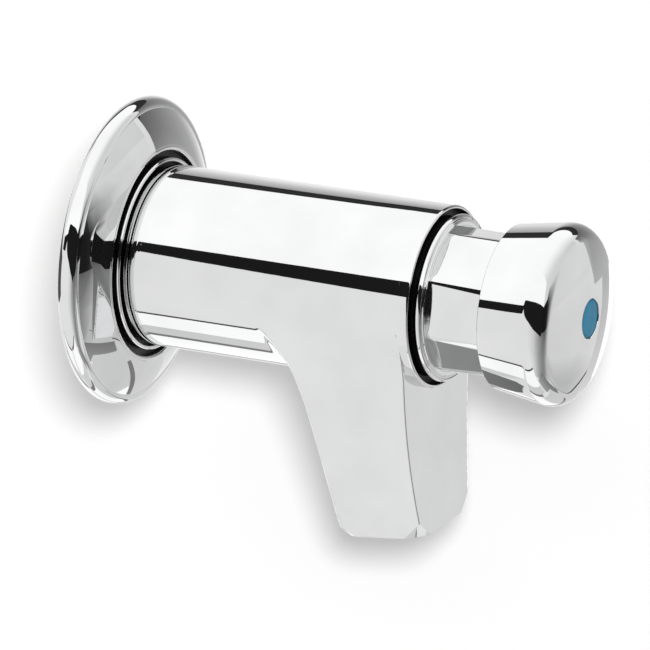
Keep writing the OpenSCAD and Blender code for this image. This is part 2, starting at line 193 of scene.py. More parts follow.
def dual_contour(f, X, U, Z):
    """Mesh of f < 0 on a rectilinear grid, with sharp edges kept and normals from the gradient."""
    ax = [np.asarray(X, float), np.asarray(U, float), np.asarray(Z, float)]
    shape = tuple(len(a) for a in ax)
    V = f(*np.meshgrid(*ax, indexing="ij"))
    cells = tuple(n - 1 for n in shape)
    ncell = cells[0] * cells[1] * cells[2]

    def F(P):
        return f(P[:, 0], P[:, 1], P[:, 2])

    def grad(P, e=0.004):
        g = np.empty_like(P)
        for k in range(3):
            d = np.zeros(3)
            d[k] = e
            g[:, k] = (F(P + d) - F(P - d)) / (2 * e)
        return g

    acc = {k: np.zeros(ncell) for k in ("n", "px", "py", "pz", "xx", "xy", "xz", "yy", "yz", "zz", "bx", "by", "bz")}
    quads = []
    for a in range(3):
        lo = [slice(None)] * 3
        hi = [slice(None)] * 3
        lo[a], hi[a] = slice(0, -1), slice(1, None)
        A, B = V[tuple(lo)] < 0, V[tuple(hi)] < 0
        idx = np.argwhere(A != B)
        b, c = (a + 1) % 3, (a + 2) % 3
        idx = idx[(idx[:, b] > 0) & (idx[:, b] < shape[b] - 1) & (idx[:, c] > 0) & (idx[:, c] < shape[c] - 1)]
        P0 = np.stack([ax[k][idx[:, k]] for k in range(3)], -1)
        P1 = P0.copy()
        P1[:, a] = ax[a][idx[:, a] + 1]
        s0 = V[tuple(idx.T)] < 0
        for _ in range(22):
            M = 0.5 * (P0 + P1)
            same = (F(M) < 0) == s0
            P0 = np.where(same[:, None], M, P0)
            P1 = np.where(same[:, None], P1, M)
        P = 0.5 * (P0 + P1)
        G = grad(P)
        G /= np.maximum(np.linalg.norm(G, axis=1), 1e-9)[:, None]
        d = np.sum(G * P, 1)
        around = []
        for db, dc in ((-1, -1), (0, -1), (0, 0), (-1, 0)):
            cell = idx.copy()
            cell[:, b] += db
            cell[:, c] += dc
            around.append((cell[:, 0] * cells[1] + cell[:, 1]) * cells[2] + cell[:, 2])
        for cid in around:
            for key, w in (("n", np.ones(len(d))), ("px", P[:, 0]), ("py", P[:, 1]), ("pz", P[:, 2]),
                           ("xx", G[:, 0] * G[:, 0]), ("xy", G[:, 0] * G[:, 1]), ("xz", G[:, 0] * G[:, 2]),
                           ("yy", G[:, 1] * G[:, 1]), ("yz", G[:, 1] * G[:, 2]), ("zz", G[:, 2] * G[:, 2]),
                           ("bx", G[:, 0] * d), ("by", G[:, 1] * d), ("bz", G[:, 2] * d)):
                acc[key] += np.bincount(cid, weights=w, minlength=ncell)
        q = np.stack(around, -1)
        quads.append(np.where(s0[:, None], q, q[:, ::-1]))
    quads = np.concatenate(quads)
    active = np.flatnonzero(acc["n"] > 0)
    cnt = acc["n"][active]
    m = np.stack([acc["px"][active], acc["py"][active], acc["pz"][active]], -1) / cnt[:, None]
    A = np.empty((len(active), 3, 3))
    for i, j, key in ((0, 0, "xx"), (0, 1, "xy"), (0, 2, "xz"), (1, 1, "yy"), (1, 2, "yz"), (2, 2, "zz")):
        A[:, i, j] = A[:, j, i] = acc[key][active]
    rhs = np.stack([acc["bx"][active], acc["by"][active], acc["bz"][active]], -1) - np.einsum("nij,nj->ni", A, m)
    w, E = np.linalg.eigh(A)
    inv = np.where(w > 0.06 * w[:, 2:3], 1 / np.maximum(w, 1e-9), 0)
    step = np.einsum("nij,nj,nkj,nk->ni", E, inv, E, rhs)
    pos = m + step
    i3 = np.stack(np.unravel_index(active, cells), -1)
    for k in range(3):
        lo_k, hi_k = ax[k][i3[:, k]], ax[k][i3[:, k] + 1]
        pad = 0.02 * (hi_k - lo_k)
        pos[:, k] = np.clip(pos[:, k], lo_k - pad, hi_k + pad)
    # a vertex is smooth if the gradient hardly turns close around it
    probe = []
    for k in range(3):
        for e in (-0.06, 0.06):
            d = np.zeros(3)
            d[k] = e
            g = grad(pos + d)
            probe.append(g / np.maximum(np.linalg.norm(g, axis=1), 1e-9)[:, None])
    probe = np.stack(probe, 1)
    mean = probe.mean(1)
    mean /= np.maximum(np.linalg.norm(mean, axis=1), 1e-9)[:, None]
    smooth = np.min(np.einsum("nij,nj->ni", probe, mean), 1) > math.cos(math.radians(16))
    for _ in range(3):
        g = grad(pos[smooth])
        val = F(pos[smooth])
        mv = -g * (val / np.maximum(np.sum(g * g, 1), 1e-9))[:, None]
        ln = np.linalg.norm(mv, axis=1)
        pos[smooth] += mv * np.minimum(1, 0.4 / np.maximum(ln, 1e-9))[:, None]
    lookup = np.full(ncell, -1)
    lookup[active] = np.arange(len(active))
    faces = lookup[quads]
    g = grad(pos)
    g /= np.maximum(np.linalg.norm(g, axis=1), 1e-9)[:, None]
    centre = pos[faces].mean(1)
    normals = g[faces]
    sharp = ~smooth[faces]
    fi, ci = np.nonzero(sharp)
    vv = pos[faces[fi, ci]]
    dirv = centre[fi] - vv
    dirv /= np.maximum(np.linalg.norm(dirv, axis=1), 1e-9)[:, None]
    gs = grad(vv + 0.08 * dirv)
    normals[fi, ci] = gs / np.maximum(np.linalg.norm(gs, axis=1), 1e-9)[:, None]
    return pos, faces.tolist(), normals.reshape(-1, 3)


def spans(*parts):
    out = []
    for a, b, step in parts:
        n = max(1, int(round((b - a) / step)))
        out += [a + (b - a) * i / n for i in range(n)]
    out.append(parts[-1][1])
    return np.array(out) + 0.0137


# ------------------------------------------------------------------ valve body

BODY_R, BODY_REAR, BODY_FRONT, BODY_SPLIT, REAR_SPLIT = 20.5, 8.6, 80.2, 77.6, 14.0


def round_max(a, b, r):
    return np.minimum(np.maximum(a + r, b + r), 0) + np.hypot(np.maximum(a + r, 0), np.maximum(b + r, 0)) - r


def half_width(s):
    s1, s2 = 5.5, 17.0
    x1 = math.sqrt(BODY_R ** 2 - s1 ** 2)
    m1 = -s1 / x1
    x2, m2 = 17.6 - 0.00194 * s2 ** 2, -2 * 0.00194 * s2
    h = s2 - s1
    t = np.clip((s - s1) / h, 0, 1)
    herm = ((2 * t ** 3 - 3 * t ** 2 + 1) * x1 + (t ** 3 - 2 * t ** 2 + t) * h * m1
            + (-2 * t ** 3 + 3 * t ** 2) * x2 + (t ** 3 - t ** 2) * h * m2)
    low = np.sqrt(np.maximum(BODY_R ** 2 - np.minimum(s, s1) ** 2, 1)) - 0.2 * np.maximum(s1 - s, 0)
    return np.where(s < s1, low, np.where(s < s2, herm, 17.6 - 0.00194 * s ** 2))


def front_u(s):
    return 78.05 + 0.0017 * np.maximum(s - 15, 0) ** 2


def back_u(s):
    return 48.68 + 0.2034 * s - 22.7 * np.exp(-np.maximum(s, 4.0) / 7.2)


OUT_N = (0.0, math.cos(math.radians(83)), -math.sin(math.radians(83)))   # out of the spout, as (x, u, z)
OUT_O = (0.0, 70.0, -54.5)


def out_coords(x, u, z):
    du, dz = u - OUT_O[1], z - OUT_O[2]
    w = du * OUT_N[1] + dz * OUT_N[2]
    return w, np.sqrt(x ** 2 + (du - w * OUT_N[1]) ** 2 + (dz - w * OUT_N[2]) ** 2)


def body_f(x, u, z):
    s = -z
    rho = np.hypot(x, z)
    a = rho - BODY_R
    rear = np.maximum(a, REAR_SPLIT - u)
    front = np.maximum(a, u - BODY_SPLIT)
    barrel = np.maximum(rear, front)
    bu = back_u(s)
    slope = 0.2034 + 22.7 / 7.2 * np.exp(-np.maximum(s, 4.0) / 7.2)
    side = np.abs(x) - half_width(s)
    g = round_max(side, (bu - u) / np.sqrt(1 + slope ** 2), 1.2)
    g = round_max(g, u - front_u(s), 0.5)
    w, ro = out_coords(x, u, z)
    cone = (ro - 13.3 + 0.83 * w) / 1.2996
    spout = np.maximum(np.maximum(g, 3 - s), np.maximum(w, cone))
    t = np.clip((u - bu - 1.5) / 4, 0, 1)
    q = np.clip((s - 7) / 7, 0, 1)
    k = 2.4 * (1 - t * t * (3 - 2 * t)) * q * q * (3 - 2 * q) + 1e-4
    h = np.maximum(k - np.abs(barrel - spout), 0)
    outer = np.minimum(barrel, spout) - h * h / (4 * k)
    bore = np.maximum(rho - 10.53, u - 21.5)
    bore = np.minimum(bore, np.maximum(rho - 9.2, u - 39))
    bore = np.minimum(bore, np.maximum(rho - 15, 38 - u))
    bore = np.minimum(bore, np.maximum(rho - 18, 70 - u))
    # sloping waterway to the outlet, and the outlet's recess
    du, dz = u - 59.5, z + 12
    c, n = math.cos(math.radians(74.4)), math.sin(math.radians(74.4))
    along = du * c - dz * n
    across = np.sqrt(x ** 2 + (du - along * c) ** 2 + (dz + along * n) ** 2)
    bore = np.minimum(bore, np.maximum(across - 5, np.maximum(-along, along - 36)))
    bore = np.minimum(bore, np.maximum(ro - 9.3, -9 - w))
    return np.maximum(outer, -bore)


body_data = dual_contour(
    body_f,
    spans((-21.6, -18.8, 0.5), (-18.8, -10.6, 0.4), (-10.6, 10.6, 0.8), (10.6, 18.8, 0.4), (18.8, 21.6, 0.5)),
    spans((13.0, 15.4, 0.6), (15.4, 38, 1.6), (38, 75.6, 0.7), (75.6, 81.2, 0.4)),
    spans((-58.2, -43, 0.5), (-43, 21.6, 0.7)))
# the barrel's thin front rim with the groove round the collar
rim_data = lathe_data([
    [(20.5, BODY_SPLIT), (20.5, 79.7)],
    arc(20.0, 79.7, 0.5, 0, 90, 12),
    [(20.0, 80.2), (19.95, 80.2)],
    arc(19.95, 80.0, 0.2, 90, 180, 6),
    [(19.75, 80.0), (19.75, 78.2)],
    [(19.75, 78.2), (18.0, 78.2)],
    [(18.0, 78.2), (18.0, BODY_SPLIT)],
    [(18.0, BODY_SPLIT), (18.4, BODY_SPLIT - 0.4)],
    [(18.4, BODY_SPLIT - 0.4), (20.1, BODY_SPLIT - 0.4)],
    [(20.1, BODY_SPLIT - 0.4), (20.5, BODY_SPLIT)]], 320)
# the barrel's rear end: a slight taper, then a rounded edge
rear_data = lathe_data([
    spline([(20.5, REAR_SPLIT), (20.5, 13.1), (20.46, 12.5), (20.36, 11.6), (20.2, 10.6)], 6)
    + arc(19.2, 10.5, 1.0, 0, -78, 14)[1:] + [(17.5, 9.1)],
    [(17.5, 9.1), (17.0, 8.6)],
    [(17.0, 8.6), (11.4, 8.6)],
    [(11.4, 8.6), (10.53, 9.5)],
    [(10.53, 9.5), (10.53, REAR_SPLIT)],
    [(10.53, REAR_SPLIT), (10.9, REAR_SPLIT + 0.4)],
    [(10.9, REAR_SPLIT + 0.4), (20.1, REAR_SPLIT + 0.4)],
    [(20.1, REAR_SPLIT + 0.4), (20.5, REAR_SPLIT)]], 320)
valve_body = make_mesh("valve_body_casting", *join_data(body_data, rim_data, rear_data))


# ------------------------------------------------------------------ turned pieces

bead = arc(32.55, 3.0, 2.45, -84, 90, 48)
dish0, dish1 = bead[-1], (24.75, 9.16)


def swell(p, q, turn, n=24):
    """Arc from p to q whose direction turns by the given angle on the way."""
    p, q = np.array(p), np.array(q)
    ch = np.linalg.norm(q - p)
    r = ch / (2 * math.sin(math.radians(abs(turn)) / 2))
    mid, d = (p + q) / 2, (q - p) / ch
    side = np.array([-d[1], d[0]]) * (1 if turn > 0 else -1)
    c = mid + side * r * math.cos(math.radians(turn) / 2)
    a0 = math.atan2(*(p - c)[::-1])
    return [tuple(c + r * np.array([math.cos(a0 + math.radians(turn) * i / n), math.sin(a0 + math.radians(turn) * i / n)]))
            for i in range(n + 1)]


dish = swell(dish0, dish1, 15)
lip = arc(24.0, 8.62, 0.72, 58, 180, 16)
wall_flange = lathe("wall_flange_shell", [
    [(31.05, 1.9), (31.05, 0.0)],
    [(31.05, 0.0), (31.9, 0.0)],
    [(31.9, 0.0), bead[0]],
    bead,
    dish + [(24.62, 9.2), (24.5, 9.22)],
    [(24.5, 9.22), lip[0]],
    lip,
    [lip[-1], (23.28, 7.1)],
    [(23.28, 7.1), (24.4, 7.1)],
    [(24.4, 7.1), (24.6, 7.85)],
    spline([(24.6, 7.85), (26.4, 7.3), (28.2, 6.4), (29.2, 5.4), (29.4, 4.0), (29.4, 1.9)], 8),
    [(29.4, 1.9), (31.05, 1.9)]], 320)

bead_o = arc(18.0, 81.75, 0.8, -68, 78, 30)
fine_1 = arc(17.72, 82.42, 0.18, 20, 140, 10)
fine_2 = arc(17.36, 82.62, 0.18, 20, 120, 10)
collar = lathe("retaining_collar_nut", [
    [(16.4, 76.0), (17.95, 76.0)],
    [(17.95, 76.0), (17.95, 80.5)],
    [(17.95, 80.5), bead_o[0]],
    bead_o,
    [bead_o[-1], (17.97, 82.4)],
    [(17.97, 82.4), fine_1[0]],
    fine_1,
    [fine_1[-1], fine_2[0]],
    fine_2,
    [fine_2[-1], (17.2, 82.85)],
    [(17.2, 82.85), (16.4, 82.85)],
    [(16.4, 82.85), (16.4, 76.0)]], 288)

FLAT, FLAT_U, FLAT_TURN = 15.35, 82.86, 9.0      # eight spanner flats: apothem, where they start, turn


def eight_sided(u, inset=0.0, m=12):
    """Rounded octagon at u as points and normals (x, u, z); its corners grow rounder to the front."""
    rc = 3.3 + 3.4 * (u - FLAT_U) / 15.0
    slope = 3.4 / 15.0
    a, t = FLAT - inset, math.radians(22.5)
    v, n = [], []
    for k in range(8):
        mid = math.radians(FLAT_TURN + 45 * k + 22.5)
        c = (a - rc) / math.cos(t)
        for i in range(m + 1):
            d = -t + 2 * t * i / m
            q = mid + d
            v.append((-c * math.cos(mid) - rc * math.cos(q), u, c * math.sin(mid) + rc * math.sin(q)))
            n.append((-math.cos(q), -slope * (1 - math.cos(d) / math.cos(t)), math.sin(q)))
    v2, n2 = [], []
    for k in range(len(v)):
        v2.append(v[k])
        n2.append(n[k])
        if k % (m + 1) == m:
            w = v[(k + 1) % len(v)]
            for i in range(1, 16):
                v2.append(tuple(a0 + (b0 - a0) * i / 16 for a0, b0 in zip(v[k], w)))
                n2.append(n[k])
    return v2, n2


def neck_mesh():
    v, faces, normals = [], [], []
    us = list(np.linspace(FLAT_U, 98.2, 9))
    rows = [eight_sided(u) for u in us]
    n = len(rows[0][0])

    def strip(r0, n0, r1, n1):
        o = len(v)
        v.extend(r0)
        v.extend(r1)
        for k in range(n):
            k2 = (k + 1) % n
            faces.append([o + k, o + k2, o + n + k2, o + n + k])
            normals.extend([n0[k], n0[k2], n1[k2], n1[k]])
    for (r0, n0), (r1, n1) in zip(rows[:-1], rows[1:]):
        strip(r0, n0, r1, n1)
    r0, n0 = rows[-1]
    r1, _ = eight_sided(98.6, 0.4)
    nc = [(q[0] * 0.707, 0.707, q[2] * 0.707) for q in n0]
    strip(r0, nc, r1, nc)
    ang = [math.atan2(q[2], q[0]) for q in r1]
    inner = [(14.4 * math.cos(q), 98.6, 14.4 * math.sin(q)) for q in ang]
    up = [(0, 1, 0)] * n
    strip(r1, up, inner, up)
    # step where the flats run out
    r0 = rows[0][0]
    ang = [math.atan2(q[2], q[0]) for q in r0]
    outer = [(16.35 * math.cos(q), FLAT_U, 16.35 * math.sin(q)) for q in ang]
    strip(outer, up, r0, up)
    low = [(16.35 * math.cos(q), 76.0, 16.35 * math.sin(q)) for q in ang]
    side = [(math.cos(q), 0, math.sin(q)) for q in ang]
    strip(low, side, outer, side)
    bottom = lathe_data([[(16.35, 76), (17.9, 76)], [(17.9, 76), (17.9, 73.5)], [(17.9, 73.5), (14.4, 73.5)],
                         [(14.4, 73.5), (14.4, 98.6)]], 256)
    return join_data((v, faces, normals), bottom)


neck = make_mesh("guide_sleeve_neck", *neck_mesh())

B_FRONT, B_R, SK_R, SH_R = 115.4, 20.4, 18.6, 4.8
sh_a = math.degrees(math.atan((B_R - SK_R) / 11.4))
sh_cx = B_R - SH_R * math.cos(math.radians(sh_a))
sh_cu = B_FRONT - 7.8 + SH_R * math.sin(math.radians(sh_a))
dome_a = 2 * math.degrees(math.atan((B_FRONT - sh_cu - SH_R) / sh_cx))
dome_r = sh_cx / math.sin(math.radians(dome_a)) + SH_R
sk_u = B_FRONT - 19.3
hole = 4.45
dome = [(dome_r * math.sin(math.radians(a)), B_FRONT - dome_r + dome_r * math.cos(math.radians(a)))
        for a in np.linspace(dome_a, math.degrees(math.asin((hole + 0.12) / dome_r)), 28)]
shoulder = arc(sh_cx, sh_cu, SH_R, -sh_a, 90 - dome_a, 40)
cone_top = shoulder[0]
button = lathe("push_button_shell", [
    [(17.4, sk_u), (SK_R - 0.3, sk_u)],
    arc(SK_R - 0.3, sk_u + 0.3, 0.3, -90, -sh_a, 6),
    spline([arc(SK_R - 0.3, sk_u + 0.3, 0.3, -90, -sh_a, 6)[-1],
            (0.5 * (SK_R + cone_top[0]), 0.5 * (sk_u + 0.3 + cone_top[1])), cone_top], 6),
    shoulder + dome[1:],
    [dome[-1], (hole, dome[-1][1] - 0.14)],
    [(hole, dome[-1][1] - 0.14), (hole, 113.2)],
    [(hole, 113.2), (2.1, 113.2)],
    [(2.1, 113.2), (2.1, 112)],
    [(2.1, 112), (15, 112)],
    [(15, 112), (17.4, 110.4)],
    [(17.4, 110.4), (17.4, sk_u)]], 320)

ring_bead = arc(21.3, 9.45, 0.5, -25, 205, 24)
centring = lathe("centring_ring_bead", [
    [(13.6, 7.05), (23.2, 7.05)],
    [(23.2, 7.05), (23.2, 8.0)],
    [(23.2, 8.0), (21.75, 8.0)],
    [(21.75, 8.0), ring_bead[0]],
    ring_bead,
    [ring_bead[-1], (20.8, 8.56)],
    [(20.8, 8.56), (13.6, 8.56)],
    [(13.6, 8.56), (13.6, 7.05)]], 256)

cap = lathe("indicator_cap_disc", [
    [(3.95, 113.2), (4.4, 113.2)],
    [(4.4, 113.2), (4.4, 114.78)],
    arc(4.05, 114.78, 0.35, 0, 62, 8) + [(3.5, 115.14), (2.6, 115.18), (1.3, 115.2), (0.0, 115.2)],
    [(0.0, 115.2), (0.0, 114.3)],
    [(0.0, 114.3), (3.95, 114.3)],
    [(3.95, 114.3), (3.95, 113.2)]], 128)


# ------------------------------------------------------------------ threaded nipple

def tube_grid(rfun, us, n=120):
    """Outer skin given as radius rfun(u, phi) on a grid, as vertices, faces and normals."""
    us = np.asarray(us, float)
    phi = np.arange(n) * 2 * math.pi / n
    Ug, Pg = np.meshgrid(us, phi, indexing="ij")
    R = rfun(Ug, Pg)
    v = np.stack([R * np.cos(Pg), Ug, R * np.sin(Pg)], -1)
    e = 1e-3
    dRu = (rfun(Ug + e, Pg) - rfun(Ug - e, Pg)) / (2 * e)
    dRp = (rfun(Ug, Pg + e) - rfun(Ug, Pg - e)) / (2 * e)
    nr = np.stack([np.cos(Pg) + dRp / R * np.sin(Pg), -dRu, np.sin(Pg) - dRp / R * np.cos(Pg)], -1)
    nr /= np.linalg.norm(nr, axis=-1)[..., None]
    m = len(us)
    faces, normals = [], []
    nf = nr.reshape(-1, 3)
    for i in range(m - 1):
        for k in range(n):
            q = [i * n + k, i * n + (k + 1) % n, (i + 1) * n + (k + 1) % n, (i + 1) * n + k]
            q = q[::-1]
            faces.append(q)
            normals += [tuple(nf[j]) for j in q]
    return v.reshape(-1, 3).tolist(), faces, normals


def thread_radius(major, minor, pitch, u0, u1, fade):
    def r(u, phi):
        ph = (u / pitch - phi / (2 * math.pi)) % 1.0
        tri = np.abs(ph - 0.5) * 2
        prof = np.clip((tri - 0.12) / 0.76, 0, 1)
        prof = prof * prof * (3 - 2 * prof)
        edge = np.clip(np.minimum(u - u0, u1 - u) / fade, 0, 1)
        return (minor - 0.15) + (major - minor + 0.15) * (prof * (0.25 + 0.75 * edge)) * edge + 0.15 * edge
    return r


def ring_faces(inner, outer, us_in, us_out, n=120, up=1):
    """Flat ring between two circles, each (radius function or number, u)."""
    phi = np.arange(n) * 2 * math.pi / n
    v = [(inner[k] * math.cos(p), us_in, inner[k] * math.sin(p)) for k, p in enumerate(phi)]
    v += [(outer[k] * math.cos(p), us_out, outer[k] * math.sin(p)) for k, p in enumerate(phi)]
    faces, normals = [], []
    for k in range(n):
        k2 = (k + 1) % n
        q = [k, n + k, n + k2, k2]
        if up > 0:
            q = q[::-1]
        faces.append(q)
        normals += [(0, up, 0)] * 4
    return v, faces, normals


def nipple_mesh():
    n = 120
    phi = np.arange(n) * 2 * math.pi / n
    tail = thread_radius(10.48, 9.35, 1.814, -9.5, 1.3, 1.2)
    head = thread_radius(10.48, 9.35, 1.814, 7.4, 20.5, 1.2)
    us_t = np.arange(-9.5, 0.3001, 0.14)
    us_h = np.arange(8.6, 20.5001, 0.14)
    rt, rh = tail(np.full(n, us_t[-1]), phi), head(np.full(n, us_h[0]), phi)
    bore = np.full(n, 6.9)
    parts = [
        tube_grid(tail, us_t, n),
        ring_faces(bore, tail(np.full(n, -9.5), phi), -9.5, -9.5, n, -1),
        ring_faces(np.full(n, 9.2), rt, float(us_t[-1]), float(us_t[-1]), n, 1),
        tube_grid(lambda u, p: 9.2 + 0 * u, [us_t[-1], 1.2], n),
        tube_grid(head, us_h, n),
        ring_faces(bore, head(np.full(n, float(us_h[-1])), phi), float(us_h[-1]), float(us_h[-1]), n, 1),
        ring_faces(np.full(n, 9.2), rh, 8.6, 8.6, n, -1),
        tube_grid(lambda u, p: 9.2 + 0 * u, [7.0, 8.6], n),
    ]
    # hexagon with turned-off corners
    apothem = 12.0

    def hex_r(p):
        q = (p + math.pi / 6) % (math.pi / 3) - math.pi / 6
        return apothem / np.cos(np.abs(np.abs(q) - math.pi / 6))
    hr = np.array([hex_r(p) for p in phi])
    cham = np.minimum(hr, 12.75)
    v, faces, normals = [], [], []
    for a, b in ((1.2, 7.0),):
        levels = [(cham, a), (hr, a + 0.55), (hr, b - 0.55), (cham, b)]
        for (r0, u0), (r1, u1) in zip(levels[:-1], levels[1:]):
            for k in range(n):
                k2 = (k + 1) % n
                quad = [(r0[k] * math.cos(phi[k]), u0, r0[k] * math.sin(phi[k])),
                        (r0[k2] * math.cos(phi[k2]), u0, r0[k2] * math.sin(phi[k2])),
                        (r1[k2] * math.cos(phi[k2]), u1, r1[k2] * math.sin(phi[k2])),
                        (r1[k] * math.cos(phi[k]), u1, r1[k] * math.sin(phi[k]))][::-1]
                e1, e2 = np.subtract(quad[1], quad[0]), np.subtract(quad[3], quad[0])
                nn = np.cross(e1, e2)
                mid = np.mean(quad, 0)
                if np.linalg.norm(nn) < 1e-9:
                    nn = np.array([mid[0], 0, mid[2]])
                nn = nn / np.linalg.norm(nn)
                if nn[0] * mid[0] + nn[2] * mid[2] < 0:
                    nn = -nn
                o = len(v)
                v += quad
                faces.append([o, o + 1, o + 2, o + 3])
                normals += [tuple(nn)] * 4
    parts.append((v, faces, normals))
    parts.append(ring_faces(np.full(n, 9.2), cham, 1.2, 1.2, n, -1))
    parts.append(ring_faces(np.full(n, 9.2), cham, 7.0, 7.0, n, 1))
    # bore
    bv, bf, bn = tube_grid(lambda u, p: 6.9 + 0 * u, [-9.5, float(us_h[-1])], n)
    parts.append((bv, [q[::-1] for q in bf], [tuple(-np.array(x)) for x in bn]))
    return join_data(*parts)


nip_v, nip_f, nip_n = nipple_mesh()
nipple = make_mesh("inlet_nipple_threaded", nip_v, nip_f, nip_n)


# ------------------------------------------------------------------ return spring

def spring_mesh():
    turns, wire, mean_r, a, b = 8, 0.8, 10.0, 73.5, 107.9
    h, e = b - a - 2 * wire, 2 * wire * 1.02
    m, q = 72 * turns, 16

    def cz(t):
        if t < 1:
            return e * t
        if t > turns - 1:
            return h - e * (turns - t)
        return e + (h - 2 * e) * (t - 1) / (turns - 2)
    v, faces, normals = [], [], []
    nv = []
    for i in range(m + 1):
        t = i / 72
        p = 2 * math.pi * t
        for k in range(q):
            w = 2 * math.pi * k / q
            v.append(((mean_r + wire * math.cos(w)) * math.cos(p), a + wire + cz(t) + wire * math.sin(w),
                      (mean_r + wire * math.cos(w)) * math.sin(p)))
            nv.append((math.cos(w) * math.cos(p), math.sin(w), math.cos(w) * math.sin(p)))
    for i in range(m):
        for k in range(q):
            f = [i * q + k, i * q + (k + 1) % q, (i + 1) * q + (k + 1) % q, (i + 1) * q + k]
            faces.append(f)
            normals += [nv[j] for j in f]
    faces.append(list(range(q))[::-1])
    normals += [(0, 0, -1)] * q
    faces.append([m * q + k for k in range(q)])
    normals += [(0, 0, 1)] * q
    return v, faces, normals


spring = make_mesh("return_spring_coil", *spring_mesh())


# ------------------------------------------------------------------ materials

def new_mat(name):
    m = bpy.data.materials.new(name)
    m.use_nodes = True
    nt = m.node_tree
    return m, nt, nt.nodes["Principled BSDF"]


def noise(nt, scale, detail=3.0, rough=0.5, coord="Object", stretch=None):
    tc = nt.nodes.new("ShaderNodeTexCoord")
    tx = nt.nodes.new("ShaderNodeTexNoise")
    tx.inputs["Scale"].default_value = scale
    tx.inputs["Detail"].default_value = detail
    tx.inputs["Roughness"].default_value = rough
    if stretch:
        mp = nt.nodes.new("ShaderNodeMapping")
        mp.inputs["Scale"].default_value = stretch
        nt.links.new(tc.outputs[coord], mp.inputs["Vector"])
        nt.links.new(mp.outputs["Vector"], tx.inputs["Vector"])
    else:
        nt.links.new(tc.outputs[coord], tx.inputs["Vector"])
    return tx


def ramp(nt, src, stops):
    r = nt.nodes.new("ShaderNodeValToRGB")
    el = r.color_ramp.elements
    el[0].position, el[0].color = stops[0][0], (*stops[0][1], 1)
    el[1].position, el[1].color = stops[-1][0], (*stops[-1][1], 1)
    for p, c in stops[1:-1]:
        e = el.new(p)
        e.color = (*c, 1)
    nt.links.new(src, r.inputs["Fac"])
    return r


def map_range(nt, src, a, b, lo, hi):
    r = nt.nodes.new("ShaderNodeMapRange")
    r.inputs["From Min"].default_value = a
    r.inputs["From Max"].default_value = b
    r.inputs["To Min"].default_value = lo
    r.inputs["To Max"].default_value = hi
    nt.links.new(src, r.inputs["Value"])
    return r


def bump(nt, src, strength, dist, normal=None):
    b = nt.nodes.new("ShaderNodeBump")
    b.inputs["Strength"].default_value = strength
    b.inputs["Distance"].default_value = dist
    nt.links.new(src, b.inputs["Height"])
    if normal is not None:
        nt.links.new(normal, b.inputs["Normal"])
    return b


def chrome_mat(name, lo=0.70, hi=0.755, wav=1.0):
    m, nt, p = new_mat(name)
    p.inputs["Metallic"].default_value = 1.0
    broad = noise(nt, 70, 3)
    fine = noise(nt, 2600, 2)
    col = ramp(nt, broad.outputs["Fac"], [(0.3, (lo, lo * 1.003, lo * 1.008)), (0.7, (hi, hi * 1.003, hi * 1.008))])
    nt.links.new(col.outputs["Color"], p.inputs["Base Color"])
    ro = map_range(nt, noise(nt, 240, 4).outputs["Fac"], 0.3, 0.75, 0.012, 0.040)
    nt.links.new(ro.outputs["Result"], p.inputs["Roughness"])
    b1 = bump(nt, broad.outputs["Fac"], 0.5 * wav, 0.00003)
    b2 = bump(nt, fine.outputs["Fac"], 0.06, 0.000004, b1.outputs["Normal"])
    nt.links.new(b2.outputs["Normal"], p.inputs["Normal"])
    return m


def turned_metal(name, dark, light, r0, r1, scale=900):
    m, nt, p = new_mat(name)
    p.inputs["Metallic"].default_value = 1.0
    broad = noise(nt, 160, 5)
    col = ramp(nt, broad.outputs["Fac"], [(0.28, dark), (0.72, light)])
    nt.links.new(col.outputs["Color"], p.inputs["Base Color"])
    lines = noise(nt, 1.0, 2, stretch=(60, scale * 4, 60))
    ro = map_range(nt, lines.outputs["Fac"], 0.3, 0.7, r0, r1)
    nt.links.new(ro.outputs["Result"], p.inputs["Roughness"])
    b = bump(nt, lines.outputs["Fac"], 0.25, 0.00003)
    nt.links.new(b.outputs["Normal"], p.inputs["Normal"])
    return m


def plain_solid(name, dark, light, r0, r1, grain, strength, dist, spec=0.5):
    m, nt, p = new_mat(name)
    p.inputs["Specular IOR Level"].default_value = spec
    broad = noise(nt, 220, 4)
    col = ramp(nt, broad.outputs["Fac"], [(0.3, dark), (0.7, light)])
    nt.links.new(col.outputs["Color"], p.inputs["Base Color"])
    g = noise(nt, grain, 4, 0.6)
    ro = map_range(nt, g.outputs["Fac"], 0.3, 0.7, r0, r1)
    nt.links.new(ro.outputs["Result"], p.inputs["Roughness"])
    b = bump(nt, g.outputs["Fac"], strength, dist)
    nt.links.new(b.outputs["Normal"], p.inputs["Normal"])
    return m


M = {
    "chrome": chrome_mat("polished_chrome"),
    "brass": turned_metal("turned_brass", (0.47, 0.31, 0.10), (0.62, 0.44, 0.17), 0.18, 0.38),
    "steel": turned_metal("bright_steel", (0.50, 0.50, 0.51), (0.62, 0.62, 0.63), 0.14, 0.32),
    "rubber": plain_solid("black_rubber", (0.012, 0.012, 0.013), (0.026, 0.026, 0.027), 0.14, 0.26, 3000, 0.05, 0.00002, 0.55),
    "fibre": plain_solid("red_fibre", (0.16, 0.035, 0.022), (0.27, 0.075, 0.045), 0.7, 0.9, 2600, 0.5, 0.00006, 0.2),
    "white_plastic": plain_solid("natural_acetal", (0.72, 0.70, 0.65), (0.82, 0.80, 0.76), 0.32, 0.5, 3500, 0.12, 0.00002),
    "black_plastic": plain_solid("black_acetal", (0.010, 0.010, 0.011), (0.022, 0.022, 0.023), 0.35, 0.55, 3500, 0.15, 0.00002),
    "blue_plastic": plain_solid("blue_gloss", (0.004, 0.135, 0.235), (0.007, 0.160, 0.270), 0.22, 0.36, 2500, 0.05, 0.00001, 0.15),
}
# painted shade: a near-black metal laid on groove and gap walls in place of the shadow that falls there
recess = turned_metal("painted_recess_shade", (0.012, 0.012, 0.013), (0.035, 0.035, 0.037), 0.35, 0.6, 500)
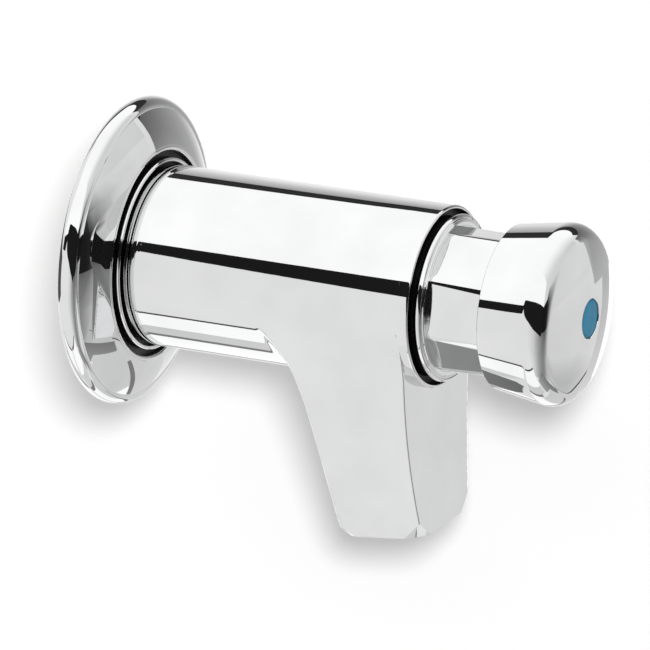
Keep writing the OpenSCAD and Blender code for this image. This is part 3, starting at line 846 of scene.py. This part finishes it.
slot_of = {sp["node"]: sp["material_slot"] for sp in frame["record"]["subparts"]}
for nm, ob in nodes.items():
    mat = M[slot_of[nm]]
    if ob.material_slots:
        for sl in ob.material_slots:
            sl.material = mat
    else:
        ob.data.materials.append(mat)


def piece(ob, body, *cad):
    slot_name = slot_of[cad[0]]
    ob.data.materials.clear()
    ob.data.materials.append(M[slot_name])
    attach(ob, body)
    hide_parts(*cad)
    return ob


piece(valve_body, "tap", "valve_body")
piece(wall_flange, "tap", "wall_flange")
piece(collar, "tap", "retaining_collar")
piece(centring, "tap", "centring_ring")
piece(neck, "tap", "guide_sleeve")
piece(nipple, "tap", "inlet_nipple")
piece(button, "plunger", "push_button")
piece(cap, "plunger", "indicator_cap")
piece(spring, "tap", "return_spring")


def paint_shade_where(ob, test):
    """Gives the faces whose middle (R, u) in mm passes the test the dark recess metal, painted shade standing in for
    the shadow in gaps and grooves.
    """
    ob.data.materials.append(recess)
    for f in ob.data.polygons:
        c = f.center
        if test(math.hypot(c.x, c.z) / MM, -c.y / MM):
            f.material_index = 1


# painted shade in the barrel's groove, on the collar's side in it, on the centring ring's front and on the flange lip's
# inner wall
paint_shade_where(valve_body, lambda r, u: 17.9 < r < 19.8 and 78.1 < u < 79.95)
paint_shade_where(collar, lambda r, u: 17.8 < r < 18.0 and u < 80.5)
paint_shade_where(centring, lambda r, u: 7.9 < u < 9.2)
paint_shade_where(wall_flange, lambda r, u: 23.2 < r < 23.3 and u < 8.6)
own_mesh(spring)


# ------------------------------------------------------------------ stage

def emitter(name, strength, colour=(1, 1, 1)):
    m = bpy.data.materials.new(name)
    m.use_nodes = True
    nt = m.node_tree
    for n in list(nt.nodes):
        nt.nodes.remove(n)
    em = nt.nodes.new("ShaderNodeEmission")
    em.inputs["Color"].default_value = (*colour, 1)
    em.inputs["Strength"].default_value = strength
    out = nt.nodes.new("ShaderNodeOutputMaterial")
    nt.links.new(em.outputs["Emission"], out.inputs["Surface"])
    return m


def card(name, pts, level, camera=False, faces=None):
    """Flat studio card; pts in mm as (x, y, z) in the frame's own axes; level is one number, or one for
    each point where the card shades off."""
    me = bpy.data.meshes.new(name)
    me.from_pydata([[c * MM for c in p] for p in pts], [], faces or [list(range(len(pts)))])
    me.update()
    ob = bpy.data.objects.new(name, me)
    scene.collection.objects.link(ob)
    if isinstance(level, (int, float)):
        me.materials.append(emitter(name + "_light", level))
    else:
        at = me.attributes.new("glow", "FLOAT", "POINT")
        at.data.foreach_set("value", level)
        m = emitter(name + "_light", 1.0)
        g = m.node_tree.nodes.new("ShaderNodeAttribute")
        g.attribute_name = "glow"
        em = [q for q in m.node_tree.nodes if q.type == "EMISSION"][0]
        m.node_tree.links.new(g.outputs["Fac"], em.inputs["Strength"])
        me.materials.append(m)
    ob.visible_camera = camera
    ob.visible_shadow = False
    ob.visible_glossy = not camera
    ob.visible_diffuse = not camera
    return ob


def wall(name, top, bottom, levels):
    """Card made of a strip between two rows of points, shading off along the strip. levels are for the top
    row, or pairs for top and bottom."""
    n = len(top)
    lv = [q if isinstance(q, (int, float)) else q[0] for q in levels]
    lb = [q if isinstance(q, (int, float)) else q[1] for q in levels]
    return card(name, list(top) + list(bottom), lv + lb,
                faces=[[i, i + 1, n + i + 1, n + i] for i in range(n - 1)])


def one_sided(ob):
    """Lets a view from behind the card's face see through it."""
    nt = ob.data.materials[0].node_tree
    out = [n for n in nt.nodes if n.type == "OUTPUT_MATERIAL"][0]
    face = out.inputs["Surface"].links[0].from_socket
    pick_side = nt.nodes.new("ShaderNodeMixShader")
    nt.links.new(nt.nodes.new("ShaderNodeNewGeometry").outputs["Backfacing"], pick_side.inputs[0])
    nt.links.new(face, pick_side.inputs[1])
    nt.links.new(nt.nodes.new("ShaderNodeBsdfTransparent").outputs[0], pick_side.inputs[2])
    nt.links.new(pick_side.outputs[0], out.inputs["Surface"])


WHITE, GREY, BLACK = 1.30, 1.0, 0.014
# what the camera sees under and behind the tap
one_sided(card("floor", [(-4000, -4000, -262), (4000, -4000, -262), (4000, 4000, -262), (-4000, 4000, -262)], 1.0, camera=True))
# table: pale all round, a white sheet under the tap with a dark gap along its edges
card("table", [(-3000, -3000, -260), (3000, -3000, -260), (3000, 3000, -260), (-3000, 3000, -260)], GREY)
card("sheet_left", [(-186, -170, -258), (-38, -170, -258), (-38, 300, -258), (-120, 300, -258), (-140, 80, -258)], 1.28)
card("sheet_gap", [(-204, -170, -257), (-186, -170, -257), (-140, 80, -257), (-120, 300, -257), (-132, 300, -257), (-155, 80, -257)], 0.10)
card("sheet_under", [(-38, -170, -258), (28, -170, -258), (28, 300, -258), (-38, 300, -258)], 0.80)
card("sheet_seam", [(28, -120, -257), (52, -120, -257), (52, 300, -257), (28, 300, -257)], 0.26)
card("sheet_right", [(52, -84, -258), (240, -84, -258), (240, 300, -258), (52, 300, -258)], 1.28)
card("sheet_right_gap", [(240, -200, -257), (262, -200, -257), (262, 300, -257), (240, 300, -257)], 0.25)
card("sheet_far", [(262, -120, -258), (600, -120, -258), (600, 300, -258), (262, 300, -258)], 0.80)
card("sheet_front", [(60, -100, -258), (262, -84, -258), (528, -198, -258), (80, -367, -258)], 0.78)
card("sheet_front_gap", [(40, -386, -257), (48, -379, -257), (528, -198, -257), (538, -206, -257)], 0.08)
fan = [(-85, 1.0, 1.0, 1.0, 1.0), (-62, 0.82, 0.82, 0.82, 0.82), (-45, 0.58, 0.58, 0.58, 0.55), (-30, 0.40, 0.40, 0.40, 0.32),
       (-15, 0.30, 0.30, 0.28, 0.14), (-3, 0.34, 0.32, 0.25, 0.07), (8, 0.62, 0.60, 0.48, 0.16), (20, 0.80, 0.66, 0.82, 0.62),
       (34, 0.82, 0.64, 0.84, 0.92), (60, 0.86, 0.62, 0.84, 0.90), (80, 1.0, 0.88, 0.88, 0.90)]
rings = [140, 430, 570, 1500]


def ring_at(r):
    return [(r * math.sin(math.radians(q[0])), -105 - r * math.cos(math.radians(q[0])), -259) for q in fan]


for i, part in enumerate(("near", "mid", "far")):
    wall("table_" + part, ring_at(rings[i]), ring_at(rings[i + 1]), [(q[i + 1], q[i + 2]) for q in fan])
wall("table_edge", ring_at(rings[-1]), ring_at(2600), [(q[4], min(q[4], 0.80)) for q in fan])
card("table_shade", [(-80, -190, -257.5), (45, -190, -257.5), (70, -256, -257.5), (205, -264, -257.5), (205, -312, -257.5), (-80, -312, -257.5)],
     [0.46, 0.46, 0.34, 0.30, 0.24, 0.24])
card("sheet_break", [(-210, 22, -256.5), (300, 22, -256.5), (300, 60, -256.5), (-210, 60, -256.5)], 0.95)
# left: white panel over a dark gap over a pale board whose top slopes down to the front
edge = [(900, 60), (300, 78), (240, 84), (215, 110), (182, 138), (160, 121), (140, 109), (120, 98), (100, 88), (60, 75), (0, 58),
        (-105, 33), (-215, -3), (-325, -39), (-487, -85), (-767, -176), (-1000, -252)]
shade = {-215: 0.90, -325: 0.80, -487: 0.56, -767: 0.36, -1000: 0.28}
wall("left_board", [(-400, y, z) for y, z in edge], [(-400, y, -256) for y, _ in edge], [shade.get(y, GREY) for y, _ in edge])
card("left_gap", [(-402, -1400, -256), (-402, 900, -256), (-402, 900, 420), (-402, -1400, 420)], BLACK)
card("left_panel", [(-400, -1400, 232), (-400, -105, 226), (-400, 100, 236), (-400, 205, 236), (-400, 240, 177), (-400, 900, 165), (-400, 900, 900),
                    (-400, -1400, 900)], WHITE)
# front: dark on the left, shading off to pale on the right, white higher up
cols = [(-402, 0.012, 0.012), (-150, 0.012, 0.012), (-60, 0.02, 0.015), (0, 0.06, 0.015), (77, 0.28, 0.02), (137, 0.44, 0.06), (223, 0.48, 0.15),
        (260, 0.50, 0.22), (400, 0.62, 0.42), (520, 0.70, 0.58), (640, 0.80, 0.80), (800, 0.87, 0.87), (1700, 0.90, 0.90)]
wall("front_wall", [(x, -1302, 235) for x, _, _ in cols], [(x, -1302, 40) for x, _, _ in cols], [(h, q) for _, h, q in cols])
wall("front_wall_low", [(x, -1302, 40) for x, _, _ in cols], [(x, -1302, -258) for x, _, _ in cols], [q for _, _, q in cols])
over = [(-402, 0.88, 0.95), (-120, 0.85, 0.95), (-60, 0.40, 0.90), (0, 0.08, 0.60), (107, 0.28, 0.78), (215, 0.42, 0.84), (420, 0.66, 0.88),
        (700, 0.85, 0.90), (1700, 0.88, 0.90)]
wall("front_mid", [(x, -1302, 430) for x, _, _ in over], [(x, -1302, 235) for x, _, _ in over], [(h, q) for _, q, h in over])
card("front_panel", [(-402, -1302, 430), (1700, -1302, 430), (1700, -1302, 900), (-402, -1302, 900)], [0.88, 0.80, 0.84, 0.92])
card("front_right", [(1700, -1302, -258), (1700, -250, -258), (1700, -250, 900), (1700, -1302, 900)], [0.88, 0.88, 0.98, 0.98])
# right: white panel over a dark gap over a board that shades off downwards
card("right_panel", [(400, 128, 352), (400, 160, 361), (400, 182, 391), (400, 216, 424), (400, 264, 455), (400, 320, 475), (400, 900, 520),
                     (400, 900, 900), (400, -277, 900), (400, -277, 280), (400, -179, 297), (400, -31, 331)], WHITE)
card("right_gap", [(402, -277, 120), (402, 900, 120), (402, 900, 540), (402, -277, 540)], 0.035)
redge = [(-277, 180), (-179, 190), (-31, 207), (90, 224), (128, 235), (145, 258), (173, 277), (211, 289), (304, 318), (900, 330)]
wall("right_board_high", [(400, y, z) for y, z in redge], [(400, y, 70) for y, z in redge],
     [(0.15, 0.24), (0.17, 0.28), (0.26, 0.40), (0.42, 0.84)] + [(0.45, 0.95)] * 6)
wall("right_board_mid", [(400, y, 70) for y, z in redge], [(400, y, -90) for y, z in redge],
     [(0.24, 0.54), (0.28, 0.56), (0.40, 0.57), (0.84, 0.95)] + [(0.95, 1.0)] * 6)
low = [-202] + [y for y, z in redge[2:]]
wall("right_board_low", [(400, y, -90) for y in low], [(400, y, -256) for y in low],
     [(0.54, 0.86), (0.54, 0.90), (0.95, 1.0)] + [(1.0, 1.05)] * 6)
wall("right_board_wing", [(400, -277, 180), (1658, -1125, 770)], [(400, -277, -90), (1658, -1125, 180)], [(0.15, 0.54), (0.15, 0.50)])
card("right_low_light", [(398, -120, -200), (398, 90, -200), (398, 90, -92), (398, -120, -92)], 1.3)
card("back_dark", [(-380, 640, -256), (380, 640, -256), (380, 640, 10), (-380, 640, 10)], 0.10)
# overhead softbox
ceiling = [(-1400, 0.88), (-1000, 0.98), (-600, 1.18), (-300, WHITE), (900, WHITE)]
wall("top_panel", [(-400, y, 900) for y, _ in ceiling], [(1700, y, 900) for y, _ in ceiling], [q for _, q in ceiling])

world = bpy.data.worlds.new("studio")
scene.world = world
world.use_nodes = True
wnt = world.node_tree
for n in list(wnt.nodes):
    wnt.nodes.remove(n)
lp = wnt.nodes.new("ShaderNodeLightPath")
bg_cam = wnt.nodes.new("ShaderNodeBackground")
bg_cam.inputs["Color"].default_value = (1, 1, 1, 1)
bg_env = wnt.nodes.new("ShaderNodeBackground")
bg_env.inputs["Color"].default_value = (1.05, 1.05, 1.05, 1)
mixs = wnt.nodes.new("ShaderNodeMixShader")
wo = wnt.nodes.new("ShaderNodeOutputWorld")
wnt.links.new(lp.outputs["Is Camera Ray"], mixs.inputs[0])
wnt.links.new(bg_env.outputs[0], mixs.inputs[1])
wnt.links.new(bg_cam.outputs[0], mixs.inputs[2])
wnt.links.new(mixs.outputs[0], wo.inputs["Surface"])

scene.view_settings.view_transform = "Standard"
scene.view_settings.look = "None"

# ------------------------------------------------------------------ camera

AZ, EL, ROLL, DIST = math.radians(-64.25), math.radians(18.39), math.radians(0.11), 1.9931
target = np.array([-0.00073, -0.05081, -0.01065])
back = np.array([math.sin(AZ) * math.cos(EL), -math.cos(AZ) * math.cos(EL), math.sin(EL)])
right = np.array([math.cos(AZ), math.sin(AZ), 0.0])
up = np.cross(back, right)
r2 = math.cos(ROLL) * right + math.sin(ROLL) * up
u2 = -math.sin(ROLL) * right + math.cos(ROLL) * up
loc = target + DIST * back
cam_data = bpy.data.cameras.new("photo_camera")
cam_data.sensor_width = 36.0
cam_data.lens = 8936.4 / 650 * 36.0
cam_data.clip_start, cam_data.clip_end = 0.05, 50
cam = bpy.data.objects.new("photo_camera", cam_data)
scene.collection.objects.link(cam)
mat = Matrix.Identity(4)
for i in range(3):
    mat[i][0], mat[i][1], mat[i][2], mat[i][3] = r2[i], u2[i], back[i], loc[i]
cam.matrix_world = mat
scene.camera = cam

screen_at = target - 0.060 * back
turned = r2 * math.cos(math.radians(19)) + back * math.sin(math.radians(19))
half = 0.16
screen = bpy.data.meshes.new("backdrop")
screen.from_pydata([tuple(screen_at + half * (a * turned + b * u2)) for a, b in ((-1, -1), (1, -1), (1, 1), (-1, 1))], [], [[0, 1, 2, 3]])
screen.update()
backdrop = bpy.data.objects.new("backdrop", screen)
scene.collection.objects.link(backdrop)
sm = bpy.data.materials.new("backdrop_paper")
sm.use_nodes = True
snt = sm.node_tree
for n in list(snt.nodes):
    snt.nodes.remove(n)
paper = snt.nodes.new("ShaderNodeBsdfDiffuse")
paper.inputs["Color"].default_value = (0.5, 0.5, 0.5, 1)
glow = snt.nodes.new("ShaderNodeEmission")
glow.inputs["Strength"].default_value = 0.16
both = snt.nodes.new("ShaderNodeAddShader")
clear = snt.nodes.new("ShaderNodeBsdfTransparent")
facing = snt.nodes.new("ShaderNodeNewGeometry")
pick = snt.nodes.new("ShaderNodeMixShader")
sout = snt.nodes.new("ShaderNodeOutputMaterial")
snt.links.new(paper.outputs[0], both.inputs[0])
snt.links.new(glow.outputs[0], both.inputs[1])
snt.links.new(facing.outputs["Backfacing"], pick.inputs[0])
snt.links.new(both.outputs[0], pick.inputs[1])
snt.links.new(clear.outputs[0], pick.inputs[2])
snt.links.new(pick.outputs[0], sout.inputs["Surface"])
screen.materials.append(sm)
backdrop.visible_glossy = False
backdrop.visible_diffuse = False
backdrop.visible_shadow = False
key = bpy.data.lights.new("key_light", "AREA")
key.shape = "DISK"
key.size = 0.34
key.energy = 50
key_ob = bpy.data.objects.new("key_light", key)
scene.collection.objects.link(key_ob)
spot = target + 2.2 * back + 0.085 * r2 + 0.175 * u2
zk = (spot - target) / np.linalg.norm(spot - target)
xk = np.cross(u2, zk)
xk /= np.linalg.norm(xk)
yk = np.cross(zk, xk)
km = Matrix.Identity(4)
for i in range(3):
    km[i][0], km[i][1], km[i][2], km[i][3] = xk[i], yk[i], zk[i], spot[i]
key_ob.matrix_world = km
key_ob.visible_glossy = False
key_ob.visible_camera = False
